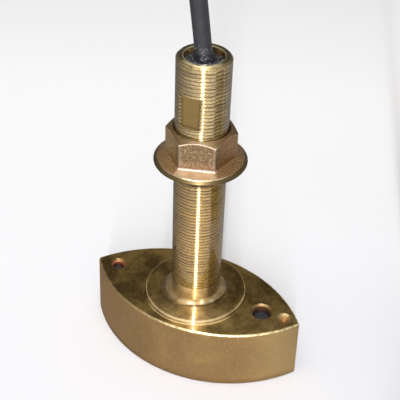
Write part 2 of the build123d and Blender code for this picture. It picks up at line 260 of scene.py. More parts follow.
# %% [markdown]
# The cable is one smooth spline from the stem's mouth to the plug. It stands up out of the stem, bends over
# under its own weight beyond the picture's top edge, comes down beside the housing and goes into a neat
# round coil, which is how nine metres of it are put away. The coil is wound one column at a time, from the
# outside in, and each turn steps up or down by one diameter over a short stretch.

# %% The cable's route
cable_diameter = 8.6 * mm
coil_x = 200 * mm
outer_turn = 60.2 * mm
lowest_turn = 5.5 * mm
turns_per_column = 9
points_per_turn = 18
turns_in_all = 26.5 + 1 / points_per_turn
step_share = 0.2

arch_points = [
    (0, 0, 187.4), (-1.8, -0.8, 204), (-5.2, -2.4, 234), (6, 5, 274), (42, 27, 297), (82, 48, 284),
    (105, 58, 240), (109, 60, 190), (113, 61, 140), (117, 61, 93), (124, 60.2, 52), (144, 60.2, 18),
    (172, 60.2, 6.5),
]
tail_points = [
    (174, -36.5, 80), (158, -30, 85), (141, -11, 84.5), (141, 23, 85.5), (167, 50, 90.2), (202, 50, 90.2),
]


def level_and_radius(turn):
    """The height and radius of the turn with this number, from 0."""
    column, place = divmod(turn, turns_per_column)
    level = place if column % 2 == 0 else turns_per_column - 1 - place
    return lowest_turn + level * cable_diameter, outer_turn - column * cable_diameter


coil_points = []
for step in range(int(turns_in_all * points_per_turn) + 1):
    turn, part = divmod(step / points_per_turn, 1)
    here = level_and_radius(int(turn))
    following = level_and_radius(int(turn) + 1)
    blend = min(max((part - 1 + step_share) / step_share, 0), 1)
    blend = blend * blend * (3 - 2 * blend)
    height, radius = (a + (b - a) * blend for a, b in zip(here, following))
    angle = math.pi / 2 - 2 * math.pi * part
    # The spline cuts inside its control points, so they stand a little further out
    reach = radius / (0.5 + 0.5 * math.cos(2 * math.pi / points_per_turn)) ** 0.5
    coil_points.append(Vector((coil_x + reach * math.cos(angle), reach * math.sin(angle), height)))
route = [Vector(p) * mm for p in arch_points] + coil_points + [Vector(p) * mm for p in tail_points]
print("points on the cable", len(route))

# %% [markdown]
# A curve with a round bevel gives the cable its thickness. Blender widens a curve's bound box by the radius
# of its points, a whole metre unless it is set. So each point gets a small radius, and the bevel's depth,
# which it multiplies, is that much larger.

# %% The cable
point_radius = 1 * mm
cable_curve = bpy.data.curves.new("cable", "CURVE")
cable_curve.dimensions = "3D"
cable_curve.bevel_depth = cable_diameter / 2 / point_radius
cable_curve.bevel_resolution = 6
cable_curve.use_fill_caps = True
cable_curve.resolution_u = 6
spline = cable_curve.splines.new("NURBS")
spline.points.add(len(route) - 1)
for point, place in zip(spline.points, route):
    point.co = (*place, 1)
    point.radius = point_radius
spline.order_u = 3
spline.use_endpoint_u = True
cable = bpy.data.objects.new("cable", cable_curve)
bpy.context.scene.collection.objects.link(cable)
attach(cable, "transducer")
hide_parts("cable_arch", "cable_coil", "cable_tail")
print("the cable is", round(spline.calc_length(), 2), "m long")

# %% [markdown]
# Every finish is a small graph of shader nodes. Finish starts one, knows the place on the object, and lays
# one colour over another in the order in which wear and dirt came to the real one. Colours are written as
# they look on a screen, from 0 to 255, and turned into the linear values that the renderer wants.

# %% Helpers for materials
def tone(red, green, blue):
    """A screen colour as linear values with alpha."""
    values = [v / 255 for v in (red, green, blue)]
    return tuple(v / 12.92 if v <= 0.04045 else ((v + 0.055) / 1.055) ** 2.4 for v in values) + (1.0,)


class Finish(Graph):
    """A material under construction: its shader, its colour so far and the place on the object."""

    def __init__(self, name, colour=(128, 128, 128), **sockets):
        self.material = bpy.data.materials.new(name)
        self.material.use_nodes = True
        super().__init__(self.material.node_tree)
        self.shader = self.nodes["Principled BSDF"]
        self.set(self.shader, Base_Color=tone(*colour), **sockets)
        self.place = self.add("ShaderNodeTexCoord").outputs["Object"]
        self.x, self.y, self.z = self.add("ShaderNodeSeparateXYZ", {0: self.place}).outputs

    def noise(self, scale, detail=3.0, rough=0.5, place=None, warp=0.0):
        """Cloudy values from 0 to 1. A higher scale makes smaller clouds."""
        inputs = {"Scale": scale, "Detail": detail, "Roughness": rough, "Distortion": warp}
        inputs["Vector"] = place or self.place
        return self.get("ShaderNodeTexNoise", inputs)

    def level_lines(self, scale, rough, squeeze):
        """Noise drawn out into level lines round an upright axis."""
        inputs = {"Vector": self.place, "Scale": (squeeze, squeeze, 1.0)}
        return self.noise(scale, 2, rough, self.get("ShaderNodeMapping", inputs))

    def mix(self, factor, a, b):
        """Two colours mixed. A plain tuple is a screen colour."""
        a, b = (tone(*c) if isinstance(c, tuple) else c for c in (a, b))
        return self.add("ShaderNodeMix", {0: factor, 6: a, 7: b}, data_type="RGBA").outputs[2]

    def lay(self, factor, colour):
        """Lays a colour over the colour so far, wherever the factor says."""
        self.colour = self.mix(factor, self.colour, colour)

    def bump(self, height, distance, strength=1.0, **under):
        """A fine relief. Normal=another_relief puts it on top of that one."""
        inputs = {"Height": height, "Distance": distance, "Strength": strength, **under}
        return self.get("ShaderNodeBump", inputs)

    def from_axis(self, x=0.0, y=0.0):
        """The distance from an upright axis through x, y."""
        return self.length(self.maths("SUBTRACT", self.x, x), self.maths("SUBTRACT", self.y, y))

    def toward(self, degrees):
        """How far out the place is in a level direction."""
        turn = math.radians(degrees)
        return self.dot(self.x, math.cos(turn), self.y, math.sin(turn))

    def turned(self, amount):
        """Turned metal: the tool's rings stretch each highlight across them."""
        around = self.xyz(self.times(self.y, -1.0), self.x, 0.0)
        self.set(self.shader, Tangent=around, Anisotropic=amount, Anisotropic_Rotation=0.25)

    def done(self, **sockets):
        """Wires the colour and the last values into the shader, and gives back the material."""
        self.set(self.shader, Base_Color=self.colour, **sockets)
        print(self.material.name, "is made of", len(self.nodes), "nodes")
        return self.material


# %% [markdown]
# A shape that is round about an axis is made as a grid: rings of points, one ring for each point of the
# profile. When the profile changes with the angle, the same grid gives a hexagon nut or an uneven bead.

# %% Helpers for meshes
def grid_mesh(name, rings, closed_profile=True):
    """A closed surface from rings of points. rings is an array of profile points by angles by xyz."""
    count, around = rings.shape[:2]
    faces = []
    for ring in range(count if closed_profile else count - 1):
        here, above = ring * around, (ring + 1) % count * around
        for step in range(around):
            after = (step + 1) % around
            faces.append((here + step, here + after, above + after, above + step))
    if not closed_profile:
        faces.append(tuple(range(around))[::-1])
        faces.append(tuple(range((count - 1) * around, count * around)))
    mesh = bpy.data.meshes.new(name)
    mesh.from_pydata(rings.reshape(-1, 3).tolist(), [], faces)
    mesh.polygons.foreach_set("use_smooth", [True] * len(mesh.polygons))
    work = bmesh.new()
    work.from_mesh(mesh)
    bmesh.ops.recalc_face_normals(work, faces=work.faces)
    if work.calc_volume(signed=True) < 0:
        bmesh.ops.reverse_faces(work, faces=work.faces)
    work.to_mesh(mesh)
    work.free()
    return mesh


def add_piece(name, mesh, material, replaces=(), body="transducer"):
    """A finished piece: its mesh in an object at the origin, with its finish, body and replaced nodes."""
    piece = bpy.data.objects.new(name, mesh)
    bpy.context.scene.collection.objects.link(piece)
    mesh.materials.clear()
    mesh.materials.append(material)
    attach(piece, body)
    if replaces:
        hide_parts(*replaces)
    print(name, "has", len(mesh.polygons), "faces")
    return piece


def dress(node, material):
    """Gives a CAD node its finish. Its shape stays as it is."""
    mesh_object = bpy.data.objects[node]
    for slot in mesh_object.material_slots:
        slot.material = material
    if not mesh_object.material_slots:
        mesh_object.data.materials.append(material)
    print(node, "wears", material.name)


# %% [markdown]
# Nothing that is cast or turned has knife edges, so a profile is written as its corners, with a rounding
# for each. A ripple adds the unevenness of handwork: a few waves round the circle, with random heights that
# come from a fixed seed, so that every run gives the same part.

# %% Helpers for profiles and rings
def corner(before, here, after, radius, steps):
    """Points along a rounded corner of a flat profile."""
    before, here, after = (np.asarray(p, float) for p in (before, here, after))
    into, out = before - here, after - here
    into_length, out_length = np.linalg.norm(into), np.linalg.norm(out)
    into, out = into / into_length, out / out_length
    half = np.arccos(np.clip(into @ out, -1, 1)) / 2
    cut = min(radius / np.tan(half), 0.49 * into_length, 0.49 * out_length)
    start, end = here + into * cut, here + out * cut
    share = np.linspace(0, 1, steps)[:, None]
    return (1 - share) ** 2 * start + 2 * share * (1 - share) * here + share**2 * end


def rounded(points, radii, steps=5):
    """A closed profile with every corner rounded."""
    after = points[1:] + points[:1]
    before = points[-1:] + points[:-1]
    return np.concatenate([corner(*spot, steps) for spot in zip(before, points, after, radii)])


def lathe(profile, around=96, axis="z", origin=(0, 0, 0)):
    """Rings of points from a profile of radius and height, turned about an axis."""
    radius, height = np.asarray(profile, float).T[:, :, None]
    angles = np.linspace(0, 2 * np.pi, around, endpoint=False)
    across, up = radius * np.cos(angles), radius * np.sin(angles)
    along = np.broadcast_to(height, across.shape)
    stack = (across, up, along) if axis == "z" else (along, across, up)
    return np.stack(stack, axis=2) + np.asarray(origin)


def ring_of(angles, reach, rise, x=0.0, y=0.0):
    """Points round an upright axis. reach and rise are one number, or one for each point."""
    points = np.broadcast_arrays(x + reach * np.cos(angles), y + reach * np.sin(angles), rise)
    return np.stack(points, axis=-1)


def ripple(angles, seed, waves=7, roll_off=1.0):
    """A smooth random value round a circle, about 1 at most."""
    chance = np.random.default_rng(seed)
    total = np.zeros_like(angles)
    for wave in range(1, waves + 1):
        total += chance.normal() * np.cos(wave * angles + chance.uniform(0, 2 * np.pi)) / wave**roll_off
    return total / np.abs(total).max()


print("a triangle with round corners has", len(rounded([(0, 0), (1, 0), (1, 1)], [0.1] * 3)), "points")

# %% [markdown]
# A Geometry Nodes tree is a small program that a modifier runs on a mesh. Each tree here takes its sizes as
# named inputs, so that anyone can try other values in the modifier's panel, and ends in two nodes that the
# export needs: one makes instances real, and the other hands on the finish. A script fills such an input by
# its socket's identifier, because the name that the panel shows need not be the only one.

# %% Helpers for Geometry Nodes
def open_tree(name, sizes):
    """A tree with a named input for each size. Gives back its graph and the values that come in."""
    kinds = {float: "NodeSocketFloat", int: "NodeSocketInt", tuple: "NodeSocketVector"}
    tree = bpy.data.node_groups.new(name, "GeometryNodeTree")
    panel = tree.interface
    panel.new_socket("Geometry", in_out="INPUT", socket_type="NodeSocketGeometry")
    for size, value in sizes.items():
        panel.new_socket(size, in_out="INPUT", socket_type=kinds[type(value)]).default_value = value
    panel.new_socket("Finish", in_out="INPUT", socket_type="NodeSocketMaterial")
    panel.new_socket("Geometry", in_out="OUTPUT", socket_type="NodeSocketGeometry")
    graph = Graph(tree)
    return graph, graph.add("NodeGroupInput").outputs


def close_tree(graph, geometry, finish):
    """Ends a tree in real geometry that wears its finish."""
    real = graph.get("GeometryNodeRealizeInstances", {0: geometry})
    finished = graph.get("GeometryNodeSetMaterial", {"Geometry": real, "Material": finish})
    graph.add("NodeGroupOutput", {0: finished})
    print(graph.tree.name, "is made of", len(graph.nodes), "nodes")
    return graph.tree


def run_nodes(name, mesh, tree, material):
    """Runs a node tree on a mesh and gives back a plain mesh."""
    worker = bpy.data.objects.new("worker", mesh)
    bpy.context.scene.collection.objects.link(worker)
    modifier = worker.modifiers.new("nodes", "NODES")
    modifier.node_group = tree
    for socket in tree.interface.items_tree:
        if socket.in_out == "INPUT" and socket.socket_type == "NodeSocketMaterial":
            modifier[socket.identifier] = material
    bpy.context.view_layer.update()
    made = bpy.data.meshes.new_from_object(worker.evaluated_get(bpy.context.evaluated_depsgraph_get()))
    worker.modifiers.clear()
    bpy.data.objects.remove(worker)
    made.name = name
    return made


# %% [markdown]
# The stem is a brass tube with a thread of 2 mm pitch cut along it, and two wrench flats near its mouth.
# A thread follows a rule, so Geometry Nodes cut it: a smooth blank goes in, and each point outside moves
# in towards the axis by a depth that depends on its height and its angle together. That slope of height
# against angle is what makes the ridge climb as a screw. The flats come after it, so a little of the
# thread's root is left on them, as on the real one.

# %% The thread cutter
stem_radius = 14 * mm
stem_bore = 10.1 * mm
stem_top = 190.3 * mm
stem_foot = 32 * mm
thread_start = 50.4 * mm
flat_bottom = 155.2 * mm
flat_top = 173.1 * mm
chamfer = 1.3 * mm


def thread_cutter():
    """The node tree that cuts a thread and two flats into an upright blank."""
    cutter, given = open_tree("thread_cutter", {
        "Radius": stem_radius, "Pitch": 2 * mm, "Depth": 0.75 * mm, "Start": thread_start, "Runout": 1.6 * mm,
        "Groove Share": 0.44, "Flat Distance": 12.35 * mm, "Flat Taper": 0.15 * mm,
        "Flat Bottom": flat_bottom, "Flat Top": flat_top, "Flat Turn": math.radians(-3.7),
    })
    maths, times, dot, between = cutter.maths, cutter.times, cutter.dot, cutter.between
    place = cutter.get("GeometryNodeInputPosition")
    x, y, z = cutter.add("ShaderNodeSeparateXYZ", {0: place}).outputs
    radius = cutter.length(x, y)

    # The phase runs from 0 to 1 over each pitch, and the groove's bottom lies at its middle
    turn = maths("DIVIDE", maths("ARCTAN2", y, x), 2 * math.pi)
    phase = maths("FRACT", maths("SUBTRACT", maths("DIVIDE", z, given["Pitch"]), turn))
    from_middle = maths("ABSOLUTE", maths("SUBTRACT", times(phase, 2.0), 1.0))
    groove = cutter.below(from_middle, 0.0, given["Groove Share"])
    started = between(z, given["Start"], maths("ADD", given["Start"], given["Runout"]))
    wanted = maths("SUBTRACT", given["Radius"], times(groove, given["Depth"], started))
    shrink = maths("DIVIDE", maths("MINIMUM", radius, wanted), maths("MAXIMUM", radius, 1 * mm))
    x, y = times(x, shrink), times(y, shrink)

    # Flats: turned into their direction, no point between their ends stands further out than their distance
    sine, cosine = maths("SINE", given["Flat Turn"]), maths("COSINE", given["Flat Turn"])
    minus_sine = times(sine, -1.0)
    along, across = dot(x, cosine, y, sine), dot(y, cosine, x, minus_sine)
    above, under = maths("GREATER_THAN", z, given["Flat Bottom"]), maths("LESS_THAN", z, given["Flat Top"])
    taper = cutter.below(z, given["Flat Bottom"], given["Flat Top"])
    limit = maths("MULTIPLY_ADD", taper, given["Flat Taper"], given["Flat Distance"])
    limit = maths("ADD", limit, maths("SUBTRACT", 1.0, times(above, under)))
    across = maths("MAXIMUM", maths("MINIMUM", across, limit), times(limit, -1.0))
    x, y = dot(along, cosine, across, minus_sine), dot(along, sine, across, cosine)

    # The bore's wall stays where it is
    outside = maths("GREATER_THAN", radius, (stem_radius + stem_bore) / 2)
    cut = cutter.add("GeometryNodeSetPosition", {
        "Geometry": given["Geometry"], "Selection": outside, "Position": cutter.xyz(x, y, z),
    })
    return close_tree(cutter, cut.outputs[0], given["Finish"])


stem_cutter = thread_cutter()

# %% [markdown]
# Threaded brass is bright on the crests, where nuts and rags rub, and brown in the roots, where oxide and
# old grease stay. The distance from the stem's axis tells the two apart. It is turned metal, so highlights
# run up and down it, and a thin clear coat that follows the plain cylinder draws the hard white line that
# the lamp leaves on a real one.

# %% Finish of the stem
brass = Finish(
    "threaded_brass", Metallic=1.0, Roughness=0.3, Coat_Roughness=0.07, Coat_IOR=1.7,
    Coat_Tint=(1.0, 0.93, 0.76, 1.0),
)
radius = brass.from_axis()
patches = brass.noise(60, 4, 0.6)


def patchy(dark, light):
    """Two near tones of brass in patches."""
    return brass.mix(patches, dark, light)


lip = brass.between(brass.z, stem_top - 2.7 * mm, stem_top - 2.3 * mm)
end_face = brass.times(lip, brass.below(radius, stem_radius - chamfer, stem_radius - chamfer + 0.2 * mm))
outside = brass.between(radius, stem_radius - 0.65 * mm, stem_radius - 0.15 * mm)
crest = brass.maths("MAXIMUM", outside, lip)
upper = brass.between(brass.z, 120 * mm, 155 * mm)
bare = brass.mix(upper, patchy((166, 134, 70), (182, 150, 84)), patchy((178, 156, 108), (194, 174, 128)))
dull = brass.mix(upper, patchy((102, 76, 36), (124, 98, 54)), patchy((118, 96, 56), (138, 116, 74)))
brass.colour = brass.mix(crest, dull, bare)

# Grime, the tool's lines, glints on the crests, and the plain foot below the thread
brass.lay(brass.between(brass.noise(900, 2, 0.6), 0.5, 0.7, 0.0, 0.55), (92, 74, 42))
brass.lay(brass.between(brass.level_lines(1300, 0.6, 0.03), 0.48, 0.62, 0.0, 0.5), (88, 68, 34))
brass.lay(brass.times(brass.between(brass.noise(1400, 2), 0.6, 0.72, 0.0, 0.5), outside), (222, 204, 160))
plain_foot = brass.between(brass.z, thread_start - 0.2 * mm, thread_start + 0.8 * mm, 0.95, 0.0)
brass.lay(plain_foot, patchy((232, 208, 160), (244, 222, 178)))

# The wrench flats, the end face with the mouth, a painted highlight on the bore's top edge, and the bore's
# wall
flat_height = brass.span(
    brass.z, flat_bottom - 0.4 * mm, flat_bottom + 0.2 * mm, flat_top + 0.1 * mm, flat_top + 0.5 * mm,
)
on_flat = brass.times(flat_height, brass.below(radius, stem_radius - 1 * mm, stem_radius - 0.8 * mm))
brass.lay(on_flat, patchy((134, 109, 64), (150, 127, 80)))
inside = brass.maths("MAXIMUM", end_face, brass.below(radius, stem_bore + 0.9 * mm, stem_bore + 1.3 * mm))
brass.lay(inside, patchy((94, 84, 44), (126, 112, 66)))
# The bore's top edge is painted pale, as a highlight
bore_edge_highlight = brass.below(radius, stem_bore + 0.6 * mm, stem_bore + 0.8 * mm)
near_top = brass.between(brass.z, stem_top - 0.7 * mm, stem_top - 0.5 * mm)
brass.lay(brass.times(near_top, bore_edge_highlight), (236, 222, 176))
bore_wall = brass.below(radius, stem_bore + 0.2 * mm, stem_bore + 0.5 * mm)
below_top = brass.below(brass.z, stem_top - 1.1 * mm, stem_top - 0.7 * mm)
brass.lay(brass.times(below_top, bore_wall), patchy((200, 160, 116), (226, 190, 140)))

# %% [markdown]
# The stem has painted light and shade. Its back and sides are painted darker, as shade, its front carries a
# painted highlight strip and a painted highlight on the lip, and a thin dark ring just under the nut's flange
# is the flange's painted shadow. Each is laid over the metal by a direction or a height on the part itself,
# so it stays in place when one walks round it.

# %% Painted light and shade of the stem
facing_front = brass.maths("DIVIDE", brass.toward(-74), radius)
# The back and the sides are painted darker, as shade
brass.lay(brass.between(facing_front, 0.05, 0.9, 0.6, 0.0), (58, 46, 22))

# The front has one narrow upright strip painted paler, as the lamp's highlight, and a painted highlight on
# the lip
off_strip = brass.maths("ABSOLUTE", brass.toward(22))
painted_streak = brass.between(off_strip, 0.5 * mm, 1.3 * mm, 0.75, 0.0)
brass.lay(brass.times(painted_streak, brass.between(facing_front, 0.0, 0.3), crest), (220, 202, 158))
# The lip's front is painted bright, as a highlight
brass.lay(brass.times(end_face, brass.between(facing_front, 0.5, 0.9)), (226, 208, 164))
# A thin dark ring just under the nut's flange is the flange's painted shadow
flange_shadow_ring = brass.span(brass.z, 121.2 * mm, 121.6 * mm, 122.6 * mm, 123.2 * mm)
brass.lay(brass.times(flange_shadow_ring, 0.95), (44, 27, 14))
brass.turned(1.0)
brass_material = brass.done(
    Normal=brass.bump(brass.level_lines(1500, 0.5, 0.04), 0.05 * mm, 0.5),
    Roughness=brass.between(brass.noise(120, 3), 0.3, 0.7, 0.22, 0.28),
    Coat_Normal=brass.xyz(brass.x, brass.y, 0.0),
    Coat_Weight=brass.times(outside, brass.maths("MULTIPLY_ADD", flange_shadow_ring, -0.8, 0.8)),
)

# %% [markdown]
# The blank needs a row of points every quarter of a millimetre where the thread runs, eight to a pitch, or
# the cutter would have nothing to shape. Below the thread and in the bore a few rows are enough.

# %% The stem
row_step = 0.25 * mm
first_row = thread_start - 0.2 * mm
stem_profile = [(stem_bore, stem_foot)]
stem_profile += [(stem_radius, z) for z in (stem_foot, 40 * mm, 44 * mm)]
stem_profile += [(stem_radius, z) for z in np.arange(first_row, stem_top - chamfer, row_step)]
stem_profile += [(stem_radius - chamfer * s, stem_top - chamfer * (1 - s)) for s in np.linspace(0, 1, 8)]
stem_profile += [
    (stem_bore + 0.5 * mm, stem_top), (stem_bore + 0.15 * mm, stem_top - 0.15 * mm),
    (stem_bore, stem_top - 0.5 * mm),
]
stem_profile += [(stem_bore, z * mm) for z in (180, 150, 100, 60)]
blank = grid_mesh("stem_blank", lathe(stem_profile, 160))
stem_mesh = run_nodes("threaded_stem", blank, stem_cutter, brass_material)
add_piece("threaded_stem", stem_mesh, brass_material, ["stem"])

# %% [markdown]
# The nut is sand cast: its edges are soft, its faces are a little grainy, and only the flange's rim and the
# top are machined. The arcs on top of its faces and the flange's front carry painted highlights. Its sizes
# come first, because the finish uses them to find the edges.

# %% Finish of the nut
nut_low = 130 * mm
nut_high = nut_low + 20.6 * mm
chamfer_reach = 15.4 * mm
chamfer_slope = math.tan(math.radians(40))
flange_reach = 24.6 * mm
rim_reach = 22.9 * mm

nut = Finish("cast_nut_bronze", Metallic=1.0, Roughness=0.5, Coat_Weight=0.12, Coat_Roughness=0.25)
mix, times, between = nut.mix, nut.times, nut.between
reach = nut.from_axis()
ahead = nut.maths("DIVIDE", nut.toward(-73), reach)
lumps = nut.noise(260, 3, 0.6)
stain = nut.noise(70, 4, 0.6)
grain = nut.noise(1700, 3, 0.65)
pits = nut.below(grain, 0.36, 0.6)
on_flange = nut.below(nut.z, nut_low + 3.0 * mm, nut_low + 4.4 * mm)

# The faces are painted as lit and shaded copies of one bronze: those to the left lit brightest, those to the
# right shaded darker, and the front faces darkest. The lower part of each face is lighter
nut.colour = mix(stain, (104, 86, 60), (126, 106, 76))
nut.lay(between(nut.noise(1700, 2, 0.6), 0.54, 0.66, 0.0, 0.7), (192, 166, 130))
nut.lay(between(nut.z, nut_low + 4.5 * mm, nut_low + 10 * mm, 0.85, 0.0), (180, 148, 118))
left = nut.below(nut.x, -14 * mm, 2 * mm)
shaded_face_tone = mix(stain, (168, 124, 76), (192, 148, 94))
lit_face_tone = mix(stain, (202, 166, 106), (226, 188, 126))
nut.lay(nut.below(ahead, 0.72, 0.88), mix(left, shaded_face_tone, lit_face_tone))
nut.lay(pits, (108, 84, 58))
nut.lay(between(lumps, 0.56, 0.72, 0.0, 0.5), (196, 166, 126))
flange_tone = mix(pits, mix(stain, (148, 116, 76), (174, 138, 94)), (104, 78, 48))
nut.lay(on_flange, flange_tone)

# %% [markdown]
# Painted highlights stand where the lamp catches the nut: on the flange in front, round the foot of the
# hexagon and on the arcs under the chamfer. The upright corners are a little lighter, partly from wear and
# partly as painted highlight. All of these places follow from the nut's own sizes.

# %% Painted highlights of the nut
# The flange's front is painted lighter, as the lamp's highlight
rubbed_and_highlit = times(between(ahead, 0.84, 0.95), on_flange, between(lumps, 0.3, 0.6, 0.6, 1.0))
nut.lay(rubbed_and_highlit, (184, 162, 134))
# A painted highlight runs round the foot of the front faces
foot_highlight = nut.span(
    nut.z, nut_low + 3.3 * mm, nut_low + 3.6 * mm, nut_low + 4.2 * mm, nut_low + 4.6 * mm,
)
nut.lay(times(foot_highlight, between(ahead, 0.8, 0.86, 0.0, 0.4)), (226, 206, 186))

# The chamfer is a cone. Just under it are the arcs, and the upright corners stand furthest out
cone_height = nut.maths("MULTIPLY_ADD", reach, -chamfer_slope, nut_high + chamfer_reach * chamfer_slope)
to_cone = nut.maths("SUBTRACT", nut.z, cone_height)
nut.lay(between(to_cone, -0.3 * mm, -0.06 * mm, 0.0, 0.75), (96, 78, 50))
# The arcs under the chamfer get a painted highlight in front, and the upright corners a faint lighter tone,
# partly wear and partly painted highlight
arc_highlight = nut.span(to_cone, -0.9 * mm, -0.6 * mm, -0.3 * mm, -0.06 * mm)
arc_highlight = times(arc_highlight, between(ahead, 0.7, 0.9, 0.1, 1.0))
upright = times(between(reach, 18.1 * mm, 18.4 * mm, 0.0, 0.1), nut.maths("SUBTRACT", 1.0, on_flange))
edge_wear_and_highlight = times(nut.maths("MAXIMUM", arc_highlight, upright), between(lumps, 0.3, 0.6, 0.5, 1.0))
nut.lay(edge_wear_and_highlight, (236, 214, 184))

# The flange's rim was turned, and its upper edge carries a painted highlight in front
rim = between(reach, rim_reach - 0.2 * mm, rim_reach + 0.2 * mm)
nut.lay(rim, mix(stain, (84, 70, 42), (108, 90, 58)))
rim_edge = nut.span(reach, rim_reach - 0.3 * mm, rim_reach, rim_reach + 0.2 * mm, rim_reach + 0.5 * mm)
rim_highlight = times(between(ahead, 0.5, 0.95), between(lumps, 0.35, 0.6, 0.25, 0.8))
nut.lay(times(rim_edge, rim_highlight), (232, 218, 184))
smooth = nut.maths("MAXIMUM", rim, edge_wear_and_highlight)
cast_skin = nut.maths("ADD", grain, lumps)
nut_material = nut.done(
    Normal=nut.bump(cast_skin, 0.16 * mm, nut.maths("SUBTRACT", 1.0, smooth)),
    Roughness=nut.maths("MULTIPLY_ADD", smooth, -0.12, 0.42),
)

# %% [markdown]
# The nut's shape is a grid of profiles. Each angle gets a profile of its own, where the hexagon's reach at
# that angle sets how far out the wall stands. The chamfer is the same cone at every angle, so it meets the
# flat faces in the arcs that every nut shows, without any cutting.

# %% The nut
nut_bore = 14.3 * mm
nut_apothem = 16.4 * mm
nut_turn = math.radians(-13.2)
corner_round = 1.0 * mm
sixth = math.pi / 6


def hexagon_reach(angle):
    """How far out the hexagon with its rounded corners stands at an angle."""
    off = (angle - nut_turn + sixth) % (2 * sixth) - sixth
    inner = nut_apothem - corner_round
    if abs(off) < math.atan(math.tan(sixth) * inner / nut_apothem):
        return nut_apothem / math.cos(off)
    corner_out, away = inner / math.cos(sixth), sixth - abs(off)
    return corner_out * math.cos(away) + math.sqrt(corner_round**2 - (corner_out * math.sin(away)) ** 2)


nut_rings = []
for angle in np.linspace(0, 2 * np.pi, 360, endpoint=False):
    wall = hexagon_reach(angle)
    corners = [
        (nut_bore, nut_low), (flange_reach, nut_low), (flange_reach, nut_low + 0.8 * mm),
        (rim_reach, nut_low + 2.2 * mm), (wall, nut_low + 3.6 * mm),
        (wall, nut_high - (wall - chamfer_reach) * chamfer_slope), (chamfer_reach, nut_high),
        (15.2 * mm, nut_high), (nut_bore, nut_high - 1 * mm),
    ]
    radii = [r * mm for r in (0.1, 0.2, 0.2, 0.3, 1.3, 0.8, 0.3, 0.2, 0.2)]
    profile = rounded(corners, radii, steps=9)
    nut_rings.append(ring_of(angle, profile[:, 0], profile[:, 1]))
nut_mesh = grid_mesh("cast_nut", np.stack(nut_rings, axis=1))
add_piece("cast_nut", nut_mesh, nut_material, ["hull_nut"], body="hull_nut")

# %% [markdown]
# The housing is one sand casting. Its side keeps the sand's grain, its top was faced in a lathe about the
# stem's axis and has tarnished since, and its upper edge carries a painted highlight. One material holds all
# of this: the height says what is side and what is top, and the distance from the stem's axis draws the
# tool's rings.
# The CAD shape is good as it is, so it only gets this finish.

# %% Finish of the housing's side
face_height = 38 * mm
pad_reach = 29.1 * mm
bronze = Finish("bronze_casting", Metallic=1.0, Coat_Roughness=0.12, Coat_IOR=1.7)
mix, times, between, span = bronze.mix, bronze.times, bronze.between, bronze.span
radius = bronze.from_axis()
top = between(bronze.z, face_height - 0.7 * mm, face_height - 0.1 * mm)
sand = bronze.noise(1300, 3, 0.65)
grit = bronze.noise(420, 3, 0.6)
swirl = bronze.noise(26, 5, 0.6, warp=0.6)
blotch = bronze.noise(75, 5, 0.65)

# Warmer to the left, paler at the right end, with pale and dark grains of sand and a darker foot
bronze.colour = mix(between(bronze.x, -60 * mm, -25 * mm), (154, 120, 71), (142, 115, 72))
bronze.lay(between(swirl, 0.35, 0.65, 0.0, 0.6), (124, 98, 64))
bronze.lay(between(bronze.x, 38 * mm, 56 * mm, 0.0, 0.42), (172, 150, 100))
bronze.lay(between(sand, 0.5, 0.72, 0.0, 0.45), (178, 152, 110))
bronze.lay(between(grit, 0.58, 0.74, 0.0, 0.35), (98, 74, 44))
bronze.lay(between(bronze.z, 0.0, 5 * mm, 0.55, 0.0), (104, 76, 44))
side_tone = bronze.colour

# %% [markdown]
# The top needs the rings of the facing tool. They could be a wave, but a wave is too even, so they are a
# noise that is read along the radius alone. Tarnish lies over them in blotches, apart from the front, which
# is worn gold and is also painted lighter, as the highlight where the lamp's streak spreads.

# %% Finish of the housing's top
ring_place = bronze.xyz(radius, 0.0, 0.0)
rings = bronze.noise(2600, 2, 0.7, ring_place)
broad_rings = bronze.noise(420, 2, 0.5, ring_place)
in_blotches = between(blotch, 0.36, 0.64)
tarnish = mix(in_blotches, (66, 48, 20), (128, 104, 56))
worn_and_lit = mix(in_blotches, (152, 120, 60), (200, 168, 98))
front = between(bronze.maths("MULTIPLY_ADD", bronze.x, -0.3, bronze.y), -6 * mm, -27 * mm)
off_pad = between(radius, pad_reach - 0.3 * mm, pad_reach + 0.9 * mm, 1.0, 0.35)
# The front is worn gold and also painted lighter, as the highlight where the lamp's streak spreads
front_wear_and_highlight = times(front, between(swirl, 0.3, 0.6, 0.55, 1.0), off_pad)
bronze.colour = mix(front_wear_and_highlight, tarnish, worn_and_lit)
bronze.lay(between(rings, 0.45, 0.7, 0.0, 0.35), (176, 148, 88))
bronze.lay(between(broad_rings, 0.5, 0.68, 0.0, 0.3), (62, 46, 20))
bronze.colour = mix(top, side_tone, bronze.colour)

# The pad's edge, its foot in front, and the housing's upper edge get painted highlights
pad_edge_highlight = span(radius, pad_reach - 0.8 * mm, pad_reach - 0.5 * mm, pad_reach - 0.3 * mm, pad_reach)
pad_foot_highlight = span(radius, pad_reach, pad_reach + 0.2 * mm, pad_reach + 0.4 * mm, pad_reach + 0.7 * mm)
pad_edge_highlight = bronze.maths("ADD", pad_edge_highlight, times(pad_foot_highlight, front))
bronze.lay(times(pad_edge_highlight, top, between(blotch, 0.3, 0.6, 0.6, 1.0)), (216, 194, 144))
to_right = between(bronze.maths("MULTIPLY_ADD", swirl, 40 * mm, bronze.x), -25 * mm, 45 * mm, 0.2, 1.0)
upper_edge = span(
    bronze.z, face_height - 1.1 * mm, face_height - 0.7 * mm, face_height - 0.15 * mm, face_height,
)
# The upper edge is painted pale, as a highlight, brightest to the right
upper_edge_highlight = times(upper_edge, between(grit, 0.38, 0.6, 0.35, 1.0), to_right)
bronze.lay(upper_edge_highlight, (232, 210, 160))

# %% [markdown]
# Inside the two holes and the dimple the metal is redder, and each has a dark rim. A distance from each
# hole's axis finds them, and the height tells inside from rim.

